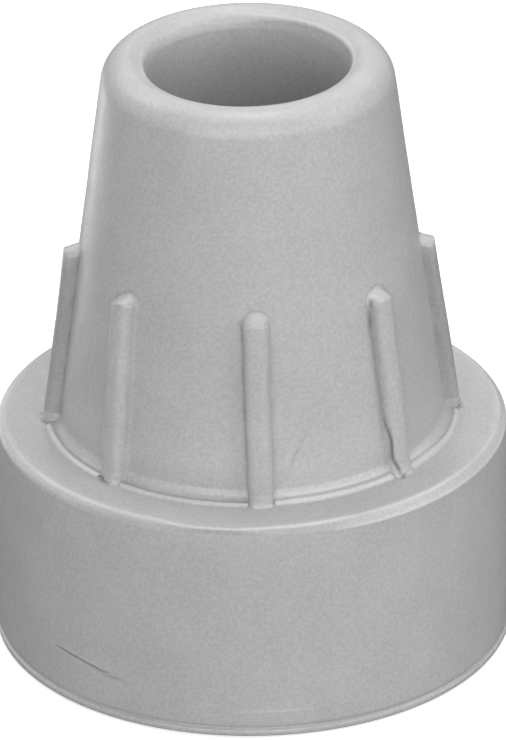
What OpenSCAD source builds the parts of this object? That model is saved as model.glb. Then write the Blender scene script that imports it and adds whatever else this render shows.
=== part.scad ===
// Rubber cane tip: one moulded piece of grey rubber.
// A wide round foot carries a tapered neck with eight stiffening ribs.
// A blind socket opens at the top of the neck and takes the end of the cane.
// The origin is at the centre of the sole, +Z points up the cane.

/* [Foot] */
// Diameter of the foot across its sole lip
foot_d = 49; // [46:0.5:54]
// Diameter of the foot wall where it meets the shoulder bevel
shoulder_d = 48; // [45:0.5:48.5]
// Height of the flat shoulder above the ground
shoulder_h = 21.6; // [16:0.2:26]
// Height of the soft bevel round the shoulder
bevel_h = 0.9; // [0.6:0.1:2]
// How far the bevel leans in over that height
bevel_in = 0.75; // [0.3:0.05:1]
// Radius of the edge between the bevel and the flat shoulder
shoulder_edge = 0.35; // [0.1:0.05:0.5]

/* [Sole lip] */
// Height of the fine groove that sets the sole lip off from the wall
lip_h = 0.8; // [0.6:0.1:1.6]
// Depth of the fine groove above the sole lip
lip_groove = 0.35; // [0.1:0.05:0.6]
// Radius of the lower edge of the sole lip
lip_edge = 0.2; // [0.1:0.05:0.3]

/* [Neck] */
// Overall height from the sole to the rim
total_h = 58.6; // [54:0.2:64]
// Diameter of the neck where it meets the shoulder
neck_foot_d = 36.7; // [34:0.1:38]
// Diameter of the neck taper, carried on up to the rim height
neck_rim_d = 26.74; // [25.6:0.02:28]
// Radius that rounds the outside of the rim
rim_fillet = 2.6; // [1:0.1:3]
// How far the low ledge at the neck's foot stands out from the neck
ledge_out = 0.9; // [0.8:0.05:1.2]
// Height of the low ledge above the shoulder
ledge_h = 0.2; // [0.1:0.05:0.8]
// Radius of the inside corner between the neck and the ledge
ledge_fillet = 0.6; // [0.2:0.05:0.6]

/* [Ribs] */
// Number of ribs around the neck
rib_count = 8; // [4:1:10]
// Turn of the rib ring about the axis, in degrees from straight in front
rib_phase = 2; // [0:0.1:45]
// Width of a rib across its base
rib_w = 2.4; // [1.8:0.1:3.6]
// How far a rib stands out from the neck
rib_out = 1.4; // [1:0.1:1.8]
// Radius along both edges of a rib's crown
rib_edge = 0.7; // [0.3:0.05:0.85]
// Height at which the rib's crown ends
rib_crown_h = 39.3; // [32:0.1:46]
// Rise of the sloping end face from the crown to the neck
rib_end_rise = 0.7; // [0.5:0.1:1.2]
// Drop of the rounded arch that ends a rib, from its middle to its flanks
rib_arch_drop = 0.45; // [0.35:0.05:0.7]

/* [Socket] */
// Diameter of the straight socket bore, the size of the cane's shaft
socket_d = 19; // [18:0.1:19.4]
// Depth of the socket from the rim to its floor
socket_depth = 42; // [30:0.5:46]
// Length of the lead-in taper below the lip
lead_len = 1.2; // [0.6:0.1:2]
// How much wider the mouth is than the bore, on the radius
lead_out = 0.15; // [0.1:0.05:0.35]
// Drop of the dished rim face from its crown to the lip of the mouth
rim_dish = 0.4; // [0.1:0.1:0.6]
// Width of the small break along the lip of the mouth
mouth_edge = 0.2; // [0.1:0.05:0.3]
// Radius in the corner at the socket floor
floor_fillet = 0.6; // [0.3:0.1:1.5]

/* [Hidden] */

$fn = 96;
rubber = [0.66, 0.66, 0.66];

foot_r = foot_d / 2;
shoulder_r = shoulder_d / 2;
bore_r = socket_d / 2;
mouth_r = bore_r + lead_out;
neck_r0 = neck_foot_d / 2;
neck_r1 = neck_rim_d / 2;
neck_slope = (neck_r0 - neck_r1) / (total_h - shoulder_h);
neck_tilt = atan(neck_slope);
ledge_r = neck_r0 + ledge_out;
ledge_z = shoulder_h + ledge_h;
ledge_edge = min(0.2, ledge_h * 0.6);
floor_z = total_h - socket_depth;
lip_z = total_h - rim_dish;
lead_z = lip_z - mouth_edge - lead_len;
lip_r = foot_r;
wall_r = foot_r - (foot_r - shoulder_r) * 0.12;
bevel_a = atan(bevel_in / bevel_h);
// centre of the rounding that touches both the bevel and the flat shoulder
edge_x = shoulder_r - (shoulder_edge + (bevel_h - shoulder_edge) * sin(bevel_a)) / cos(bevel_a);
edge_z = shoulder_h - shoulder_edge;
// centre of the rounding that touches both the neck's taper and the rim
rim_z = total_h - rim_fillet;
rim_x = neck_r0 - neck_slope * (rim_z - shoulder_h) - rim_fillet / cos(neck_tilt);
crown_r = max(rim_x, mouth_r + mouth_edge + 0.3);
rib_apex_z = rib_crown_h + rib_end_rise;
rib_arch_r = (rib_w * rib_w / 4 + rib_arch_drop * rib_arch_drop) / (2 * rib_arch_drop);

// Radius of the neck's surface at a height
function neck_r(z) = neck_r0 - neck_slope * (z - shoulder_h);

// Outline of the foot: lip, groove, drafted wall and bevelled shoulder
module foot_outline() {
    difference() {
        union() {
            polygon([
                [0, 0],
                [lip_r - lip_edge, 0],
                [lip_r, lip_edge],
                [lip_r, lip_h],
                [wall_r, lip_h],
                [shoulder_r, shoulder_h - bevel_h],
                [edge_x + shoulder_edge * cos(bevel_a), edge_z + shoulder_edge * sin(bevel_a)],
                [edge_x, shoulder_h],
                [0, shoulder_h]
            ]);
            translate([edge_x, edge_z])
                circle(r = shoulder_edge);
            translate([lip_r - lip_edge, lip_edge])
                circle(r = lip_edge);
        }
        // the fine groove above the lip
        polygon([
            [lip_r + 1, lip_h - 0.2 - 1.1],
            [lip_r + 0.02, lip_h - 0.2],
            [lip_r - lip_groove, lip_h],
            [lip_r + 0.02, lip_h + 0.2],
            [lip_r + 1, lip_h + 0.2 + 1.1]
        ]);
    }
}

// Outline of the neck: ledge, hollow corner, taper and rounded rim
module neck_outline() {
    // centre of the hollow corner between the taper and the ledge
    fz = ledge_z + ledge_fillet;
    fx = neck_r(fz) + ledge_fillet / cos(neck_tilt);

    polygon([
        [0, 0],
        [neck_r0, 0],
        [neck_r0, shoulder_h],
        [rim_x + rim_fillet * cos(neck_tilt), rim_z + rim_fillet * sin(neck_tilt)],
        [rim_x, total_h],
        [0, total_h]
    ]);
    translate([rim_x, rim_z])
        circle(r = rim_fillet);
    difference() {
        polygon([
            [neck_r0 - 1, shoulder_h],
            [fx, ledge_z],
            [fx - ledge_fillet * cos(neck_tilt), fz - ledge_fillet * sin(neck_tilt)],
            [neck_r0 - 1, fz]
        ]);
        translate([fx, fz])
            circle(r = ledge_fillet);
    }
    polygon([
        [0, shoulder_h - 1],
        [ledge_r, shoulder_h - 1],
        [ledge_r, ledge_z - ledge_edge],
        [ledge_r - ledge_edge, ledge_z],
        [0, ledge_z]
    ]);
    translate([ledge_r - ledge_edge, ledge_z - ledge_edge])
        circle(r = ledge_edge);
}

// Outline of the empty socket: rounded floor corner, bore, lead-in, lip and dished rim
module socket_outline() {
    translate([0, floor_z])
        square([bore_r - floor_fillet, total_h - floor_z + 1]);
    translate([0, floor_z + floor_fillet])
        square([bore_r, total_h - floor_z - floor_fillet + 1]);
    translate([bore_r - floor_fillet, floor_z + floor_fillet])
        circle(r = floor_fillet);
    polygon([
        [0, lead_z],
        [bore_r, lead_z],
        [mouth_r, lip_z - mouth_edge],
        [mouth_r + mouth_edge * 0.3, lip_z - mouth_edge * 0.3],
        [mouth_r + mouth_edge, lip_z],
        [crown_r, total_h],
        [crown_r, total_h + 1],
        [0, total_h + 1]
    ]);
}

// The round body with its socket
module round_body() {
    rotate_extrude($fn = 180)
        difference() {
            union() {
                foot_outline();
                neck_outline();
            }
            intersection() {
                socket_outline();
                square([foot_r, total_h + 2]);
            }
        }
}

// One rib, standing out towards +X and leaning in with the neck
module rib() {
    intersection() {
        // rounded section, drawn along the taper
        translate([neck_r0, 0, shoulder_h])
            rotate([0, -neck_tilt, 0])
                translate([0, 0, -2])
                    linear_extrude(height = rib_apex_z - shoulder_h + 6)
                        union() {
                            translate([-3, -rib_w / 2])
                                square([3 + rib_out - rib_edge, rib_w]);
                            translate([-3, -rib_w / 2 + rib_edge])
                                square([3 + rib_out, rib_w - 2 * rib_edge]);
                            for (s = [-1, 1])
                                translate([rib_out - rib_edge, s * (rib_w / 2 - rib_edge)])
                                    circle(r = rib_edge);
                        }
        // side view: the end face slopes down from the neck to the crown
        rotate([90, 0, 0])
            translate([0, 0, -rib_w])
                linear_extrude(height = 2 * rib_w)
                    polygon([
                        [neck_r1 - 1, shoulder_h - 1],
                        [foot_r, shoulder_h - 1],
                        [foot_r, end_z(foot_r)],
                        [neck_r1 - 1, end_z(neck_r1 - 1)]
                    ]);
        // front view: straight flanks under a low round arch
        rotate([90, 0, 90])
            linear_extrude(height = foot_r)
                union() {
                    translate([-rib_arch_r, shoulder_h - 1])
                        square([2 * rib_arch_r, rib_apex_z - rib_arch_r - shoulder_h + 1]);
                    translate([0, rib_apex_z - rib_arch_r])
                        circle(r = rib_arch_r);
                }
    }
}

// Height of the rib's sloping end face at a radius
function end_z(r) = rib_apex_z
    - (r - neck_r(rib_apex_z)) * rib_end_rise / (neck_r(rib_crown_h) + rib_out - neck_r(rib_apex_z));

// The whole moulding
module cane_tip() {
    color(rubber)
        union() {
            round_body();
            for (i = [0:rib_count - 1])
                rotate([0, 0, -90 + rib_phase + i * 360 / rib_count])
                    rib();
        }
}

cane_tip();
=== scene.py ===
import math

import bpy
import numpy as np
from mathutils import Matrix, Vector


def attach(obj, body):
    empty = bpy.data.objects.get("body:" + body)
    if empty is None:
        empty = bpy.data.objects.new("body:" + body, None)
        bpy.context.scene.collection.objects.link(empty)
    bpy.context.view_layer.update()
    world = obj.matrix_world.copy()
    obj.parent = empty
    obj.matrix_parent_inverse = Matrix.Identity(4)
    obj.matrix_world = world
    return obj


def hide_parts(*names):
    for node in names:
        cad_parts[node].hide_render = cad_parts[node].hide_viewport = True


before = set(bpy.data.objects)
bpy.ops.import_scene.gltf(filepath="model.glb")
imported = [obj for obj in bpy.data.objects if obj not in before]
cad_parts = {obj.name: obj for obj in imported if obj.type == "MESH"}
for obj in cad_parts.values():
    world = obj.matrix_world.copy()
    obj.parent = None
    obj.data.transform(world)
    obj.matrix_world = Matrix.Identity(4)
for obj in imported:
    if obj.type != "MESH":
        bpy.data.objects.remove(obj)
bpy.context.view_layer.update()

MM = 0.001
scene = bpy.context.scene

# ---------------------------------------------------------------- dimensions, mm
LIP_R = 24.5
WALL_R0 = 24.42
WALL_R1 = 24.0
SHOULDER_Z = 21.6
BEVEL_H = 0.9
H = 58.6
NECK_R0 = 18.35
NECK_R1 = 13.37
SLOPE = (NECK_R0 - NECK_R1) / (H - SHOULDER_Z)
TILT = math.atan(SLOPE)
RIM_F = 2.6
BORE_R = 9.5
MOUTH_R = 9.65
LIP_Z = H - 0.4
FLOOR_Z = 16.6
LEAD_Z = 56.8
CROWN_Z = 39.18
APEX_Z = 39.68
RIB_OUT = 1.4
RIB_W = 1.2

# azimuth of each rib at mid height, how fast it leans round with height, and the place and sharpness of its end's peak
RIB_AZ = np.radians([2.0, 47.0, 92.6, 137.2, 182.0, 227.1, 272.8, 315.6])
RIB_LEAN = np.radians([0.055, 0.015, 0.03, 0.05, 0.04, 0.055, 0.05, 0.11])
RIB_PEAK = np.array([0.05, 0.05, 0.0, 0.1, -0.1, 0.0, 0.1, 0.3])
RIB_POINT = np.array([2.6, 3.2, 2.2, 3.0, 2.5, 2.8, 2.0, 1.5])
RIBS = len(RIB_AZ)


def neck_r(z):
    return NECK_R0 - SLOPE * (z - SHOULDER_Z)


def rib_az(k, z):
    return RIB_AZ[k] + RIB_LEAN[k] * (30.5 - np.clip(z, 21.6, 41.0))


# ---------------------------------------------------------------- smooth noise, always the same
def lattice(seed, n):
    return np.random.RandomState(seed).rand(n, n, n) * 2 - 1


def noise3(p, scale, seed):
    """Smooth value noise of points p (N,3) in mm, one lattice cell every scale mm."""
    g = lattice(seed, 16)
    q = p / scale + 137.0
    i = np.floor(q).astype(int)
    f = q - i
    f = f * f * f * (f * (f * 6 - 15) + 10)
    out = np.zeros(len(p))
    for dx in (0, 1):
        for dy in (0, 1):
            for dz in (0, 1):
                w = (
                    (f[:, 0] if dx else 1 - f[:, 0])
                    * (f[:, 1] if dy else 1 - f[:, 1])
                    * (f[:, 2] if dz else 1 - f[:, 2])
                )
                out += w * g[(i[:, 0] + dx) % 16, (i[:, 1] + dy) % 16, (i[:, 2] + dz) % 16]
    return out


def smooth(a, b, x):
    t = np.clip((np.asarray(x, float) - a) / (b - a), 0, 1)
    return t * t * (3 - 2 * t)


def smin(a, b, k):
    h = np.clip(0.5 + 0.5 * (b - a) / k, 0, 1)
    return b * (1 - h) + a * h - k * h * (1 - h)


# ---------------------------------------------------------------- the outline, from the sole's centre round to the socket floor
def line(a, b, n, bias=1.0):
    t = (np.arange(1, n + 1) / n) ** bias
    return [(a[0] + (b[0] - a[0]) * s, a[1] + (b[1] - a[1]) * s) for s in t]


def arc(c, r, a0, a1, n):
    t = np.radians(np.linspace(a0, a1, n + 1)[1:])
    return [(c[0] + r * math.cos(s), c[1] + r * math.sin(s)) for s in t]


rows = []  # (r, z, zone)


def add(points, zone):
    rows.extend((r, z, zone) for r, z in points)


# sole
add([(2.5, 0), (6, 0), (10, 0), (14, 0), (18, 0), (21, 0), (22.8, 0), (23.7, 0), (24.05, 0)], "sole")
add(arc((LIP_R - 0.28, 0.26), 0.26, -90, 0, 5), "lip")
add([(LIP_R - 0.02, 0.38), (LIP_R - 0.02, 0.50), (LIP_R - 0.05, 0.60), (LIP_R - 0.17, 0.67)], "lip")
add([(LIP_R - 0.32, 0.73), (LIP_R - 0.36, 0.79), (LIP_R - 0.30, 0.86), (LIP_R - 0.20, 0.93), (LIP_R - 0.13, 1.0), (LIP_R - 0.10, 1.1)], "groove")


def wall_r(z):
    return WALL_R0 + (WALL_R1 - WALL_R0) * (z - 1.0) / (SHOULDER_Z - BEVEL_H - 1.0)


zs = [1.35, 1.7, 2.05, 2.3, 2.45, 2.55, 2.65, 2.8, 3.1, 3.4] + list(np.arange(3.6, 5.5, 0.1)) + [5.7, 6.0, 6.3, 6.7, 7.1] + list(np.arange(8.0, 19.9, 1.3)) + [19.95]
add([(wall_r(z), z) for z in zs], "wall")

# the shoulder's bevel, from the wall over its soft lower corner to the crisp upper edge
N_BEVEL = len(rows)
add([(24.0, 20.2), (24.0, 20.6), (23.995, 20.80), (23.97, 20.93), (23.92, 21.03), (23.85, 21.12), (23.75, 21.21), (23.63, 21.30), (23.50, 21.38)], "bevel")
add([(23.40, 21.435), (23.31, 21.485), (23.22, 21.53), (23.14, 21.568), (23.05, 21.592), (22.95, 21.6)], "bevel")
N_TOP = len(rows)
add([(22.6, SHOULDER_Z), (21.9, SHOULDER_Z), (21.0, SHOULDER_Z)], "top")
FOOT_R = 19.55
add(line((21.0, SHOULDER_Z), (FOOT_R, SHOULDER_Z), 8), "blend")

# the neck's foot: a fine bead on one side, a low ledge with two edges on the other
BEAD = np.array([(19.50, 0.03), (19.42, 0.085), (19.35, 0.145), (19.285, 0.195), (19.225, 0.225), (19.16, 0.235), (19.08, 0.225), (18.98, 0.21), (18.86, 0.21), (18.74, 0.235), (18.62, 0.29), (18.50, 0.39), (18.40, 0.53), (18.31, 0.72), (18.215, 1.0)])
LEDGE = np.array([(19.42, 0.02), (19.33, 0.08), (19.26, 0.17), (19.19, 0.27), (19.12, 0.35), (19.03, 0.395), (18.92, 0.41), (18.80, 0.415), (18.68, 0.425), (18.60, 0.45), (18.53, 0.51), (18.47, 0.60), (18.41, 0.70), (18.32, 0.83), (18.215, 1.0)])
N_FOOT = len(rows)
add([(r, SHOULDER_Z + h) for r, h in BEAD], "foot")
N_NECK = len(rows)
z0 = rows[-1][1]
zs = (
    [22.8, 23.05, 23.35]
    + list(np.arange(23.7, 38.3, 0.5))
    + [38.5, 38.66, 38.8, 38.93, 39.05, 39.13]
    + list(np.arange(39.2, 40.5, 0.075))
    + [40.7, 41.0, 41.5]
    + list(np.arange(42.4, 54.8, 1.1))
)
rz = H - RIM_F
rx = neck_r(rz) - RIM_F / math.cos(TILT)
tz = rz + RIM_F * math.sin(TILT)
zs = [z for z in zs if z < tz - 0.4]
add([(neck_r(z), z) for z in zs], "neck")
add([(neck_r(tz), tz)], "neck")
N_RIM = len(rows)
add(arc((rx, rz), RIM_F, math.degrees(TILT), 90, 15), "rim")
# the rim's face dishes in to the lip, a small crisp edge, and the lead-in
add([(10.8, H - 0.07), (10.4, H - 0.23), (10.1, H - 0.37), (9.9, H - 0.47)], "dish")
N_LIP = len(rows)
add([(9.82, H - 0.52), (9.75, H - 0.58), (9.69, H - 0.65), (9.655, H - 0.73), (9.64, H - 0.82), (9.635, H - 0.94)], "mouth")
add(line((9.635, H - 0.94), (BORE_R + 0.02, LEAD_Z + 0.12), 4), "mouth")
SOFT_R = (10.95, 10.68, 10.42, 10.20, 10.04, 9.92, 9.83, 9.76, 9.71, 9.67, 9.64, 9.615, 9.595, 9.58)
SOFT_DROP = (0.06, 0.17, 0.33, 0.50, 0.65, 0.80, 0.94, 1.08, 1.20, 1.32, 1.42, 1.51, 1.60, 1.68)
N_BORE = len(rows)
add([(BORE_R, z) for z in (56.75, 56.6, 56.3, 55.8, 55, 54, 52.5, 50.5, 47.5, 43, 38, 33, 28, 22, 18, 17.2)], "bore")
add(arc((BORE_R - 0.6, FLOOR_Z + 0.6), 0.6, 0, -90, 4), "bore")
add([(r, FLOOR_Z) for r in (7.4, 5.4, 3.4, 1.4)], "floor")

R0 = np.array([q[0] for q in rows])
Z0 = np.array([q[1] for q in rows])
ZONE = np.array([q[2] for q in rows])
NR = len(rows)

# ---------------------------------------------------------------- columns: fine across each rib, coarser between
half_u = np.array([0, 0.2, 0.38, 0.54, 0.66, 0.76, 0.85, 0.93, 1.0, 1.06, 1.11, 1.15, 1.18, 1.197, 1.24, 1.30, 1.38, 1.5, 1.75, 2.3])
rib_u = np.concatenate([-half_u[:0:-1], half_u])
GAP = 10
col_rib, col_u, col_gap = [], [], []
for k in range(RIBS):
    for u in rib_u:
        col_rib.append(k); col_u.append(u); col_gap.append(0)
    for g in range(1, GAP + 1):
        col_rib.append(k); col_u.append(0.0); col_gap.append(g)
col_rib = np.array(col_rib); col_u = np.array(col_u); col_gap = np.array(col_gap)
NC = len(col_rib)

r_az = np.clip(np.where((ZONE == "neck") | (ZONE == "foot"), R0, 17.0), 15.4, 19.3)
r_az[:N_FOOT] = NECK_R0
r_az[N_RIM:] = r_az[N_RIM - 1]

# a faint scratch crosses the gap beside the front rib; five columns of that gap gather along it
SCR_Z = np.array([23.5, 25.14, 26.33, 27.47, 30.55, 33.41, 34.2])
SCR_A = np.radians([12.2, 12.2, 13.9, 16.55, 23.01, 30.09, 32.0])
near = np.array([-0.32, -0.09, 0.0, 0.09, 0.32])

A = np.zeros((NR, NC))
for i in range(NR):
    e = 2.3 / r_az[i]
    lo_a = rib_az(col_rib, Z0[i])
    nk = (col_rib + 1) % RIBS
    hi_a = rib_az(nk, Z0[i]) + np.where(nk == 0, 2 * math.pi, 0)
    span = hi_a - lo_a - 2 * e
    A[i] = np.where(col_gap > 0, lo_a + e + span * col_gap / (GAP + 1.0), lo_a + col_u / r_az[i])
    if ZONE[i] == "neck":
        w = float(smooth(23.0, 24.6, Z0[i]) * (1 - smooth(34.5, 38.0, Z0[i])))
        mid = float(np.interp(Z0[i], SCR_Z, SCR_A))
        first = lo_a[0] + e
        g = np.where((col_rib == 0) & (col_gap > 0))[0]
        width = span[0]
        t = (mid - first) / width
        n_left = 2
        pos = np.concatenate([
            np.linspace(0, t - 0.32 / r_az[i] / width, n_left + 2)[1:-1],
            t + near / r_az[i] / width,
            np.linspace(t + 0.32 / r_az[i] / width, 1, GAP - n_left - 5 + 2)[1:-1],
        ])
        A[i, g] = A[i, g] * (1 - w) + (first + width * pos) * w

U = np.where(col_gap > 0, 9.0, col_u)[None, :].repeat(NR, 0)
K = col_rib[None, :].repeat(NR, 0)
R = R0[:, None].repeat(NC, 1)
Z = Z0[:, None].repeat(NC, 1)


def turn_to(az, deg):
    """Signed angle in degrees from deg to az, the short way round."""
    return (np.degrees(az) - deg + 180.0) % 360.0 - 180.0


def window(az, a, b, soft=6.0):
    """1 between the azimuths a and b, fading out over soft degrees beyond them."""
    mid, half = (a + b) / 2, (b - a) / 2
    return 1 - smooth(half, half + soft, np.abs(turn_to(az, mid)))


# ---------------------------------------------------------------- ribs
WOB = np.random.RandomState(40).rand(RIBS, 6)


def rib_height(u, z, k):
    """How far a rib stands out from the neck, for the distance u across it and the height z."""
    du = 0.03 * np.sin(z * (0.45 + 0.2 * WOB[k, 0]) + 6.3 * WOB[k, 1]) + 0.015 * np.sin(z * 1.3 + 6.3 * WOB[k, 2])
    v = u - du * (np.abs(u) < 2.0)
    wl = RIB_W
    x = np.clip(np.where(v < 0, -v / wl, v / RIB_W), 0, 1)
    n = np.where(v < 0, 3.4, 2.5)
    c = (1 - x ** n) ** (1 / n)
    c = c * (1 + 0.055 * v / RIB_W)
    # hollow corners along both flanks
    d = np.abs(v) - np.where(v < 0, wl, RIB_W)
    c = np.maximum(c, 0.0) * RIB_OUT
    fillet = 0.20 * np.clip(1 - (d + 0.06) / 0.42, 0, 1) ** 2.2
    c = np.where(d > -0.06, np.maximum(c, np.minimum(fillet, 0.2)), c)
    tall = 1 + 0.03 * np.sin(z * 0.31 + 6.3 * WOB[k, 3])
    q = np.clip(v / RIB_W - RIB_PEAK[k], -1.6, 1.6)
    q = q / np.where(q > 0, 1 - RIB_PEAK[k], 1 + RIB_PEAK[k])
    za = APEX_Z - 0.62 * np.minimum(np.abs(q), 1.3) ** RIB_POINT[k] - 0.12 * (WOB[k, 4] - 0.5)
    e = RIB_OUT * (za - z) / np.maximum(APEX_Z - CROWN_Z, 0.25)
    e = np.maximum(-smin(-e, np.zeros_like(e), 0.06), 0.0)
    return np.clip(smin(c * tall, e, 0.09), 0, RIB_OUT * 1.06)


on_neck = (ZONE == "neck") | (ZONE == "rim")
hgt = rib_height(U, Z, K)
hgt = np.where(on_neck[:, None], hgt, 0.0)
R = R + hgt

# fine step pressed into the neck round each rib's upper end; the shade along it is painted darker further down
za = APEX_Z - 0.62 * np.minimum(np.abs(U / RIB_W - RIB_PEAK[K]), 1.6) ** RIB_POINT[K]
above = Z - za
halo = np.exp(-(((above - 0.26) / 0.13) ** 2)) * (1 - smooth(1.45, 1.9, np.abs(U)))
R = R - np.where(on_neck[:, None], 0.075 * halo, 0)

# the neck's foot
right = smooth(-3, 14, turn_to(A, 0)) * (1 - smooth(58, 74, turn_to(A, 0)))
right = np.maximum(right, 0.75 * window(A, 128, 160, 14))
for j, i in enumerate(range(N_FOOT, N_NECK)):
    R[i] = BEAD[j, 0] * (1 - right[i]) + LEDGE[j, 0] * right[i]
    Z[i] = SHOULDER_Z + BEAD[j, 1] * (1 - right[i]) + LEDGE[j, 1] * right[i]

# round each rib's foot these rows step out, and climb its face instead
nf = N_NECK - N_FOOT
t = (np.arange(nf) + 1) / nf
z_alt = SHOULDER_Z + (z0 - SHOULDER_Z) * t ** 1.25
h_foot = rib_height(U[0], np.full(NC, 24.0), K[0])
w_foot = smooth(0.02, 0.5, h_foot)
for j, i in enumerate(range(N_FOOT, N_NECK)):
    ra = neck_r(z_alt[j]) + h_foot + 0.12 * (1 - t[j]) ** 2.5
    R[i] = R[i] * (1 - w_foot) + ra * w_foot
    Z[i] = Z[i] * (1 - w_foot) + z_alt[j] * w_foot
r_in = FOOT_R + (neck_r(SHOULDER_Z) + h_foot + 0.20 - FOOT_R) * w_foot
for i in range(N_TOP, N_FOOT):
    if ZONE[i] == "blend":
        f = (21.0 - R0[i]) / (21.0 - FOOT_R)
        R[i] = 21.0 + (r_in - 21.0) * f

# ---------------------------------------------------------------- uneven edges
azd = turn_to(A, 0)
# the shoulder's upper edge wanders a little, most of all on the front left
shift = np.interp(azd[0], [-180, -120, -60, -45, -25, -12, -4, 5, 12, 30, 70, 120, 180], [0.05, 0.2, 0.0, -0.05, 0.05, 0.08, 0.05, 0.10, 0.10, 0.0, 0.0, 0.15, 0.05])
# its lower corner is rounder on the left than on the right, and in front the bevel narrows to one round corner
crisp = np.interp(azd[0], [-180, -90, -20, 15, 24, 75, 110, 180], [0.4, 0.0, 0.0, 0.0, 1.0, 1.0, 0.4, 0.4])
full = np.interp(azd[0], [-22, -15, -3, 4, 12, 20], [0.0, 1.0, 1.0, 0.45, 0.1, 0.0])
bev_r = np.array([r for r, z, q in rows[N_BEVEL:N_TOP]])
bev_z = np.array([z for r, z, q in rows[N_BEVEL:N_TOP]])
sharp_r = np.array([24.0, 24.005, 24.01, 24.005, 23.965, 23.88, 23.74, 23.58, 23.44, 23.355, 23.29, 23.22, 23.14, 23.05, 22.95])
sharp_z = np.array([20.2, 20.42, 20.60, 20.72, 20.80, 20.88, 21.02, 21.19, 21.345, 21.424, 21.484, 21.533, 21.57, 21.592, 21.6])
full_r = (24.0, 23.985, 23.96, 23.93, 23.90, 23.875, 23.862, 23.857, 23.841, 23.808, 23.76, 23.706, 23.654, 23.60, 23.3)
full_z = (20.2, 20.5, 20.75, 20.95, 21.1, 21.24, 21.32, 21.376, 21.437, 21.496, 21.545, 21.578, 21.594, 21.6, 21.6)
for j in range(N_TOP - N_BEVEL):
    i = N_BEVEL + j
    up_share = float(smooth(20.7, 21.45, bev_z[j]))
    rr = bev_r[j] * (1 - crisp) + sharp_r[j] * crisp + shift * up_share
    zz = bev_z[j] * (1 - crisp) + sharp_z[j] * crisp
    R[i] = rr * (1 - full) + full_r[j] * full
    Z[i] = zz * (1 - full) + full_z[j] * full
for i in range(N_TOP, N_TOP + 3):
    R[i] = R[i] + shift * (1.0, 0.6, 0.2)[i - N_TOP]

# the mouth: its lip lies a little higher on the right, and is rounder at the back left
soft_lip = window(A, -165, -120, 35)
for j, (r_s, drop) in enumerate(zip(SOFT_R, SOFT_DROP)):
    i = N_LIP - 4 + j
    R[i] = R[i] * (1 - soft_lip[i]) + r_s * soft_lip[i]
    Z[i] = Z[i] * (1 - soft_lip[i]) + (H - drop) * soft_lip[i]
in_bore = (ZONE == "bore") & (Z0 > 45)
R = R + soft_lip * (in_bore * 0.075 * np.exp(-(LEAD_Z + 0.12 - Z0) / 1.3))[:, None]
lip_rows = (ZONE == "dish") | (ZONE == "mouth")
tilt = 0.12 * np.sin(A) * lip_rows[:, None]
Z = Z + tilt * (1 - smooth(10.6, 11.1, R))

# ---------------------------------------------------------------- unevenness and marks
SIN, COS = np.sin(A), np.cos(A)
P = np.stack([R * SIN, -R * COS, Z], -1)
flat = P.reshape(-1, 3)
wob = 0.05 * noise3(flat, 14.0, 3) + 0.022 * noise3(flat, 5.0, 5) + 0.008 * noise3(flat, 1.7, 9)
wob = wob.reshape(NR, NC)
amount = np.ones(NR)
amount[ZONE == "sole"] = 0
amount[ZONE == "lip"] = 0.35
amount[(ZONE == "bore") | (ZONE == "floor")] = 0.25
dr = wob * amount[:, None]
# painted shade: a darker colour painted where shade falls, in cuts, cracks, pits, corners and on shaded sides
painted_shade = np.zeros((NR, NC))
# a paler colour: the real rubbed streak near the sole, and painted highlights along edges
wear_and_highlight = np.zeros((NR, NC))
outer = np.isin(ZONE, ["wall", "bevel", "top", "blend", "foot", "neck"])[:, None]


def along(points, wrap=True):
    """Distance in mm from every vertex to the line through points, given as (azimuth, radius, z), and how far along it."""
    q = np.array([(r * math.sin(math.radians(a)), -r * math.cos(math.radians(a)), z) for a, r, z in points])
    best = np.full((NR, NC), 1e9)
    at = np.zeros((NR, NC))
    total = 0.0
    lens = np.linalg.norm(q[1:] - q[:-1], axis=1)
    for s, (a, b) in enumerate(zip(q[:-1], q[1:])):
        ab = b - a
        tt = np.clip(((P - a) @ ab) / (ab @ ab), 0, 1)
        d = np.linalg.norm(P - (a + tt[..., None] * ab), axis=-1)
        hit = d < best
        best = np.where(hit, d, best)
        at = np.where(hit, (total + tt * lens[s]) / lens.sum(), at)
        total += lens[s]
    return best, at


# a cut with a raised upper side on the foot wall, low on the left, with shade painted darker along it
lz = np.interp(azd, [-48.5, -43.6, -37.8, -33.7, -28.5], [5.11, 4.95, 4.66, 4.23, 3.89])
deep = smooth(-49.6, -48.2, azd) * (1 - smooth(-36.0, -27.5, azd)) * (ZONE == "wall")[:, None]
dz = Z - lz
dr = dr - 0.17 * deep * np.exp(-((dz / 0.10) ** 2)) + 0.06 * deep * np.exp(-(((dz - 0.24) / 0.12) ** 2))
painted_shade = np.maximum(painted_shade, 0.8 * deep * np.exp(-((dz / 0.12) ** 2)))
# a short rubbed streak and a small blister near the sole
streak = window(A, -2, 10, 4) * np.exp(-(((Z - 2.56) / 0.09) ** 2)) * (ZONE == "wall")[:, None]
dr = dr + 0.03 * streak
wear_and_highlight = np.maximum(wear_and_highlight, 0.6 * streak)
d = np.hypot((azd + 12.1) * math.pi / 180 * 24.3, Z - 6.6)
dr = dr + 0.05 * np.exp(-((d / 0.7) ** 2)) * (ZONE == "wall")[:, None]
# scratch on the neck, with shade painted darker along its groove
sd = (A - np.interp(Z, SCR_Z, SCR_A)) * R * 0.7
on = smooth(24.5, 25.2, Z) * (1 - smooth(32.6, 34.0, Z)) * (ZONE == "neck")[:, None] * (np.abs(azd - 20) < 25)
on = on * (0.55 + 0.45 * np.sin(Z * 2.9 + 1.0) ** 2) * (0.30 + 0.70 * (1 - smooth(27.2, 28.4, Z)))
dr = dr - 0.04 * on * np.exp(-((sd / 0.10) ** 2))
painted_shade = np.maximum(painted_shade, 0.28 * on * np.exp(-((sd / 0.10) ** 2)))
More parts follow.
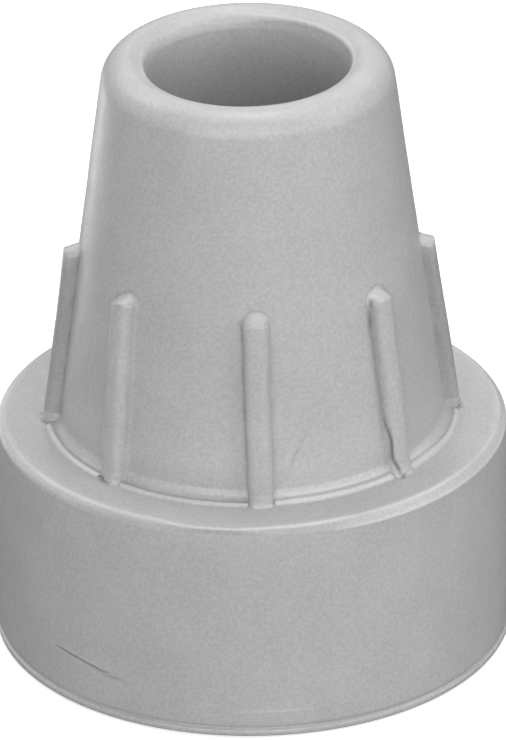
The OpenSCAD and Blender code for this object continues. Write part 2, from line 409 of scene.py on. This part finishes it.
# small nicks beside the front rib and on the left of the neck
for a, z, r, hgt_mm, rad in (
    (7.35, 38.2, 16.1, 0.06, 0.22), (8.1, 37.2, 16.2, -0.03, 0.2), (7.2, 34.4, 16.6, 0.03, 0.18), (8.6, 33.1, 16.8, -0.04, 0.2),
    (7.9, 30.6, 17.1, -0.04, 0.22), (7.6, 28.0, 17.5, 0.04, 0.3), (7.2, 26.1, 17.7, -0.04, 0.25),
    (-71.8, 33.5, 16.7, 0.10, 0.5), (-70.0, 32.6, 16.9, -0.06, 0.45), (152.0, 36.0, 16.4, -0.07, 0.5), (-118.0, 29.0, 17.3, 0.07, 0.5),
):
    q = np.array([r * math.sin(math.radians(a)), -r * math.cos(math.radians(a)), z])
    d = np.linalg.norm(P - q, axis=-1)
    dr = dr + hgt_mm * np.exp(-((d / rad) ** 2)) * outer

# crack down the flank of the rib on the right, ending in a pit at its foot, with shade painted darker along it
UPPER = [(42.5, 16.5, 39.1), (42.45, 16.42, 37.6), (42.3, 16.4, 36.3)]
CRACK = [(42.5, 16.55, 35.9), (42.65, 16.7, 34.7), (42.9, 17.02, 32.2), (43.0, 17.3, 30.6), (43.1, 17.6, 29.2), (43.08, 17.85, 27.3), (43.45, 18.45, 26.1), (43.52, 18.76, 25.2), (43.5, 18.93, 23.35), (44.19, 19.35, 22.6), (44.76, 19.93, 21.6)]
d, at = along(UPPER)
gap = 0.9 * np.exp(-((d / 0.20) ** 2)) * outer
painted_shade = np.maximum(painted_shade, 0.75 * np.exp(-((d / 0.19) ** 2)) * outer)
d, at = along(CRACK)
deep = 0.3 + 0.7 * smooth(0.35, 0.75, at)
gap = np.maximum(gap, deep * np.exp(-((d / 0.18) ** 2)) * outer)
painted_shade = np.maximum(painted_shade, (0.45 + 0.55 * smooth(0.3, 0.75, at)) * np.exp(-((d / 0.2) ** 2)) * outer)
# pits where three more ribs meet the shoulder, with their shade painted dark
for a, r, z, depth, rad in ((-44.9 - 0.6, 19.55, 21.65, 0.35, 0.26), (-89.6, 19.9, 21.65, 0.35, 0.26), (45.9, 19.75, 21.6, 0.25, 0.22), (90.6, 19.7, 21.62, 0.15, 0.3), (178.3, 19.6, 21.62, 0.2, 0.25)):
    q = np.array([r * math.sin(math.radians(a)), -r * math.cos(math.radians(a)), z])
    d = np.linalg.norm(P - q, axis=-1)
    dr = dr - depth * np.exp(-((d / rad) ** 2)) * outer
    painted_shade = np.maximum(painted_shade, np.exp(-((d / (rad * 0.95)) ** 2)) * outer)
# an undercut where the feet of the left rib and of the two side ribs meet the shoulder, with its shade painted dark
at_foot = np.exp(-(((Z - 21.68) / 0.14) ** 2)) * (np.arange(NR) >= N_FOOT - 1)[:, None] * (np.abs(U) < 1.4) * outer
under_rib = 0.95 * (K == 7) * smooth(1.0, -0.5, U) + 0.6 * (K == 6) * smooth(-0.6, 0.4, U) + 0.6 * (K == 2) * smooth(0.6, -0.4, U)
painted_shade = np.maximum(painted_shade, at_foot * under_rib)
dr = dr - 0.10 * at_foot * under_rib
# painted shade in the corners along the ribs' flanks, more on the flanks turned from the light, and round the ribs'
# ends
flank = np.exp(-(((np.abs(U) - 1.30) / 0.17) ** 2)) * (Z > SHOULDER_Z + 0.3) * (Z < 39.6) * (ZONE == "neck")[:, None]
share = np.where(U < 0, 1.0, 0.45)
share = np.where(K == 6, np.where(U > 0, 1.8, 0.5), np.where((K == 2) & (U < 0), 1.7, share))
painted_shade = np.maximum(painted_shade, (0.24 + 0.08 * np.sin(Z * 1.7 + K)) * flank * share)
painted_shade = np.maximum(painted_shade, 0.25 * halo * (ZONE == "neck")[:, None])
# painted shade: the neck's lowest few millimetres, and the ribs at both sides, are painted darker where shade falls on
# them
low = (0.20 * (1 - right) + 0.10 * right) * (1 - smooth(22.6, 25.4, Z)) * (ZONE == "neck")[:, None]
painted_shade = np.maximum(painted_shade, low)
side = 0.36 * ((K == 6) * smooth(-0.9, -0.3, U) + (K == 2) * smooth(-0.9, -0.3, -U)) * (np.abs(U) < 1.3)
painted_shade = np.maximum(painted_shade, side * (ZONE == "neck")[:, None] * (1 - smooth(37.5, 39.2, Z)) * (hgt > 0.1))

# painted highlights: a paler colour, patchy at random, along the shoulder's two edges, the bead and ledge, the lip and
# crown of the rim, and on the ribs' end faces
highlight_patchiness = 0.75 + 0.5 * noise3(flat, 2.6, 21).reshape(NR, NC)
for i in range(NR):
    if ZONE[i] == "bevel":
        # painted highlights along the bevel's upper edge and, where it is crisp, its lower corner
        up_edge = np.exp(-(((Z[i] - 21.51) / 0.08) ** 2))
        low_edge = np.exp(-(((Z[i] - 20.80) / 0.10) ** 2))
        wear_and_highlight[i] = np.maximum(wear_and_highlight[i], highlight_patchiness[i] * (0.75 * up_edge + 0.45 * low_edge * crisp))
        # painted shade on the bevel's face across the front
        face = smooth(20.85, 21.05, Z[i]) * (1 - smooth(21.34, 21.46, Z[i])) * window(A[i], -55, 16, 12)
        painted_shade[i] = np.maximum(painted_shade[i], 0.26 * face)
    if ZONE[i] == "foot":
        j = i - N_FOOT
        # painted highlights along the bead's and the ledge's edges
        a_b = (0.2, 0.5, 0.8, 0.9, 0.6, 0.2, 0, 0, 0, 0, 0, 0, 0, 0, 0)[j]
        a_l = (0.1, 0.4, 0.8, 0.9, 0.6, 0.2, 0, 0, 0.2, 0.5, 0.8, 0.8, 0.4, 0.1, 0)[j]
        wear_and_highlight[i] = np.maximum(wear_and_highlight[i], 0.6 * highlight_patchiness[i] * (a_b * (1 - right[i]) + a_l * right[i]) * (1 - w_foot))
        # painted shade on the bead's upper side, where its fillet would catch light
        s_b = (0, 0, 0, 0, 0, 0.05, 0.14, 0.2, 0.22, 0.22, 0.2, 0.16, 0.12, 0.08, 0.04)[j]
        painted_shade[i] = np.maximum(painted_shade[i], s_b * (1 - right[i]))
    if ZONE[i] in ("rim", "dish", "mouth"):
        # painted highlights on the rim's crown and along the edge of the mouth's lip
        crown = float(smooth(H - 0.9, H - 0.25, Z0[i])) * 0.4 if ZONE[i] == "rim" else 0.35
        lip = math.exp(-(((R0[i] - 9.93) / 0.14) ** 2)) if ZONE[i] != "rim" else 0.0
        wear_and_highlight[i] = np.maximum(wear_and_highlight[i], highlight_patchiness[i] * np.maximum(crown if R0[i] > 9.9 else 0.0, lip * (1 - 0.6 * soft_lip[i])))
# painted highlight on the ribs' end faces, which face up into the light
facet = smooth(CROWN_Z - 0.02, CROWN_Z + 0.10, Z) * (hgt > 0.08) * (ZONE == "neck")[:, None]
wear_and_highlight = np.maximum(wear_and_highlight, 0.7 * highlight_patchiness * facet)
wear_and_highlight = np.clip(wear_and_highlight, 0, 1)

# the crack opens into the rib's flank, so it is pushed in sideways as well
P[..., 0] += (dr - 0.08 * gap) * SIN + 0.16 * gap * COS
P[..., 1] += -(dr - 0.08 * gap) * COS + 0.16 * gap * SIN
rr = np.hypot(P[..., 0], P[..., 1])
too_wide = np.minimum(1, (LIP_R - 0.002) / np.maximum(rr, 1e-9))
P[..., 0] *= too_wide
P[..., 1] *= too_wide
P[..., 2] = np.clip(P[..., 2], 0, H)

# ---------------------------------------------------------------- the mesh
verts = [tuple(v) for v in (P.reshape(-1, 3) * MM)]
verts.append((0, 0, 0))
verts.append((0, 0, FLOOR_Z * MM))
bottom, top = len(verts) - 2, len(verts) - 1
idx = np.arange(NR * NC).reshape(NR, NC)
nxt = np.roll(idx, -1, axis=1)
faces = np.stack([idx[:-1], nxt[:-1], nxt[1:], idx[1:]], -1).reshape(-1, 4).tolist()
faces += [[bottom, int(nxt[0, j]), int(idx[0, j])] for j in range(NC)]
faces += [[top, int(idx[-1, j]), int(nxt[-1, j])] for j in range(NC)]

mesh = bpy.data.meshes.new("cane_tip_moulding")
mesh.from_pydata(verts, [], faces)
mesh.validate()
mesh.polygons.foreach_set("use_smooth", [True] * len(mesh.polygons))
mesh.update()
# the painted shade mask and the paler wear-and-highlight mask are stored on the mesh for the material
for name, field in (("painted_shade", painted_shade), ("wear_and_highlight", wear_and_highlight)):
    layer = mesh.attributes.new(name, "FLOAT", "POINT")
    layer.data.foreach_set("value", np.concatenate([field.reshape(-1), [0.0, 0.0]]).astype(np.float32))
tip = bpy.data.objects.new("cane_tip_moulding", mesh)
scene.collection.objects.link(tip)


# ---------------------------------------------------------------- rubber
def rubber():
    m = bpy.data.materials.new("grey_rubber")
    m.use_nodes = True
    nt = m.node_tree
    nd, lk = nt.nodes, nt.links
    nd.clear()
    out = nd.new("ShaderNodeOutputMaterial")
    bs = nd.new("ShaderNodeBsdfPrincipled")
    lk.new(bs.outputs[0], out.inputs[0])
    bs.inputs["IOR"].default_value = 1.5
    tc = nd.new("ShaderNodeTexCoord")

    def noise(scale, detail=2.0, rough=0.5):
        n = nd.new("ShaderNodeTexNoise")
        n.inputs["Scale"].default_value = scale
        n.inputs["Detail"].default_value = detail
        n.inputs["Roughness"].default_value = rough
        lk.new(tc.outputs["Object"], n.inputs["Vector"])
        return n

    def rng(src, a, b, c, d):
        n = nd.new("ShaderNodeMapRange")
        n.inputs[1].default_value, n.inputs[2].default_value = a, b
        n.inputs[3].default_value, n.inputs[4].default_value = c, d
        lk.new(src, n.inputs[0])
        return n.outputs[0]

    cloud = noise(160, 3)
    fine = noise(3000, 2, 0.7)
    mix = nd.new("ShaderNodeMix")
    mix.data_type = "RGBA"
    mix.inputs[6].default_value = (0.385, 0.385, 0.387, 1)
    mix.inputs[7].default_value = (0.47, 0.47, 0.47, 1)
    add = nd.new("ShaderNodeMath")
    add.operation = "ADD"
    lk.new(rng(cloud.outputs[0], 0.35, 0.65, 0.0, 0.30), add.inputs[0])
    lk.new(rng(fine.outputs[0], 0.38, 0.62, 0.0, 0.70), add.inputs[1])
    lk.new(add.outputs[0], mix.inputs[0])

    def mask(name):
        n = nd.new("ShaderNodeAttribute")
        n.attribute_type = "GEOMETRY"
        n.attribute_name = name
        return n.outputs["Fac"]

    # mix towards pale grey: painted highlights, and the real rubbed streak
    wear_and_highlight_mix = nd.new("ShaderNodeMix")
    wear_and_highlight_mix.data_type = "RGBA"
    wear_and_highlight_mix.inputs[7].default_value = (0.56, 0.56, 0.56, 1)
    lk.new(mix.outputs[2], wear_and_highlight_mix.inputs[6])
    lk.new(mask("wear_and_highlight"), wear_and_highlight_mix.inputs[0])
    # mix towards dark grey by the painted shade mask
    shade_mix = nd.new("ShaderNodeMix")
    shade_mix.data_type = "RGBA"
    shade_mix.inputs[7].default_value = (0.16, 0.16, 0.16, 1)
    lk.new(wear_and_highlight_mix.outputs[2], shade_mix.inputs[6])
    lk.new(mask("painted_shade"), shade_mix.inputs[0])
    lk.new(shade_mix.outputs[2], bs.inputs["Base Color"])
    lk.new(rng(noise(420, 3).outputs[0], 0.3, 0.7, 0.32, 0.42), bs.inputs["Roughness"])
    bump = nd.new("ShaderNodeBump")
    bump.inputs["Strength"].default_value = 0.35
    bump.inputs["Distance"].default_value = 0.00004
    lk.new(noise(3200, 2, 0.6).outputs[0], bump.inputs["Height"])
    lk.new(bump.outputs[0], bs.inputs["Normal"])
    return m


mat = rubber()
tip.data.materials.append(mat)
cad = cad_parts["cane_tip"]
cad.data.materials.clear()
cad.data.materials.append(mat)
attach(tip, "root")
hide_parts("cane_tip")

# ---------------------------------------------------------------- floor
FLOOR_BOUNCE = 0.15
fm = bpy.data.meshes.new("floor")
s = 6.0
under = -0.0001  # a hair below the sole, so that the two faces never coincide
fm.from_pydata([(-s, -s, under), (s, -s, under), (s, s, under), (-s, s, under)], [], [(0, 1, 2, 3)])
floor = bpy.data.objects.new("floor", fm)
scene.collection.objects.link(floor)
m = bpy.data.materials.new("floor_white")
m.use_nodes = True
nt = m.node_tree
nt.nodes.clear()
fo = nt.nodes.new("ShaderNodeOutputMaterial")
seen = nt.nodes.new("ShaderNodeAddShader")
glow = nt.nodes.new("ShaderNodeEmission")
glow.name = "glow"
glow.inputs[1].default_value = 0.62
face = nt.nodes.new("ShaderNodeBsdfDiffuse")
face.inputs[0].default_value = (0.6, 0.6, 0.6, 1)
nt.links.new(glow.outputs[0], seen.inputs[0])
nt.links.new(face.outputs[0], seen.inputs[1])
dull = nt.nodes.new("ShaderNodeBsdfDiffuse")
dull.inputs[0].default_value = (FLOOR_BOUNCE, FLOOR_BOUNCE, FLOOR_BOUNCE, 1)
path = nt.nodes.new("ShaderNodeLightPath")
pick = nt.nodes.new("ShaderNodeMixShader")
nt.links.new(path.outputs["Is Camera Ray"], pick.inputs[0])
nt.links.new(dull.outputs[0], pick.inputs[1])
nt.links.new(seen.outputs[0], pick.inputs[2])
nt.links.new(pick.outputs[0], fo.inputs[0])
floor.data.materials.append(m)

# ---------------------------------------------------------------- light
world = bpy.data.worlds.new("studio")
scene.world = world
world.use_nodes = True
wn = world.node_tree
bg = wn.nodes["Background"]
bg.inputs[0].default_value = (1, 1, 1, 1)
bg.inputs[1].default_value = 0.46
# brighter near the horizon, dim overhead
FILL_LOW, FILL_HIGH = 0.74, 0.0
where = wn.nodes.new("ShaderNodeTexCoord")
xyz = wn.nodes.new("ShaderNodeSeparateXYZ")
ramp = wn.nodes.new("ShaderNodeMapRange")
ramp.name = "fill_ramp"
ramp.inputs[1].default_value, ramp.inputs[2].default_value = 0.10, 0.75
ramp.inputs[3].default_value, ramp.inputs[4].default_value = FILL_LOW, FILL_HIGH
wn.links.new(where.outputs["Generated"], xyz.inputs[0])
wn.links.new(xyz.outputs[2], ramp.inputs[0])
wn.links.new(ramp.outputs[0], bg.inputs[1])
bg_seen = wn.nodes.new("ShaderNodeBackground")
bg_seen.inputs[1].default_value = 1.05
wp = wn.nodes.new("ShaderNodeLightPath")
wx = wn.nodes.new("ShaderNodeMixShader")
wn.links.new(wp.outputs["Is Camera Ray"], wx.inputs[0])
wn.links.new(bg.outputs[0], wx.inputs[1])
wn.links.new(bg_seen.outputs[0], wx.inputs[2])
wn.links.new(wx.outputs[0], wn.nodes["World Output"].inputs[0])

AIM = Vector((0, 0, 0.03))
# azimuth, elevation, distance (m), size (m), power (W): broad soft boxes, and two small cards low behind the left
LIGHTS = [
    (0, 25, 0.9, 0.70, 4.35),
    (-30, 6, 0.9, 0.38, 1.75),
    (60, 10, 0.9, 0.38, 1.50),
    (30, 6, 0.9, 0.38, 0.26),
    (60, 42, 0.9, 0.38, 0.64),
    (90, 42, 0.9, 0.38, 1.55),
    (75, 60, 0.9, 0.38, 0.16),
    (-100, 10, 0.9, 0.38, 0.23),
    (-120, 42, 0.9, 0.38, 1.60),
    (-150, 42, 0.9, 0.38, 0.73),
    (150, 42, 0.9, 0.38, 0.55),
    (180, 30, 0.9, 0.38, 0.50),
    (180, 55, 0.9, 0.38, 0.22),
    (180, 80, 0.9, 0.30, 1.90),
    (90, 75, 0.9, 0.30, 0.65),
    (-90, 75, 0.9, 0.30, 0.30),
    (-130, -8, 0.08, 0.03, 0.0036),
    (-143, -5, 0.12, 0.04, 0.0081),
]


def area(name, az, el, dist, size, power, size_y=None):
    a, e = math.radians(az), math.radians(el)
    d = Vector((math.sin(a) * math.cos(e), -math.cos(a) * math.cos(e), math.sin(e)))
    li = bpy.data.lights.new(name, "AREA")
    li.shape = "RECTANGLE"
    li.size = size
    li.size_y = size_y or size
    li.energy = power
    ob = bpy.data.objects.new(name, li)
    ob.location = AIM + d * dist
    ob.rotation_mode = "QUATERNION"
    ob.rotation_quaternion = (-d).to_track_quat("-Z", "Y")
    ob.visible_camera = False
    scene.collection.objects.link(ob)
    return ob


for az, el, dist, size, power in LIGHTS:
    area("light_%d_%d" % (az, el), az, el, dist, size, power)

# ---------------------------------------------------------------- camera
F_PX = 9571.0
E, DIST, YAW, PIT, ROLL = 0.4709, 0.900, -0.0002, -0.0034, 0.0121
hz = 0.0586 / 2
C = Vector((0, -DIST * math.cos(E), hz + DIST * math.sin(E)))
fw = Vector((0, math.cos(E), -math.sin(E)))
rt = Vector((1, 0, 0))
up = rt.cross(fw)


def turn(a, b, t):
    return a * math.cos(t) + b * math.sin(t), b * math.cos(t) - a * math.sin(t)


fw, rt = turn(fw, rt, -YAW)
fw, up = turn(fw, up, PIT)
rt, up = turn(rt, up, -ROLL)
cam_data = bpy.data.cameras.new("camera")
cam = bpy.data.objects.new("camera", cam_data)
scene.collection.objects.link(cam)
M = Matrix((
    (rt.x, up.x, -fw.x, C.x),
    (rt.y, up.y, -fw.y, C.y),
    (rt.z, up.z, -fw.z, C.z),
    (0, 0, 0, 1),
))
cam.matrix_world = M
cam_data.sensor_width = 36.0
cam_data.sensor_fit = "AUTO"
cam_data.lens = F_PX / 740 * 36.0
cam_data.clip_start = 0.05
cam_data.clip_end = 50
scene.camera = cam

scene.view_settings.view_transform = "Standard"
scene.view_settings.look = "None"
scene.view_settings.exposure = 0.0
scene.view_settings.gamma = 1.0
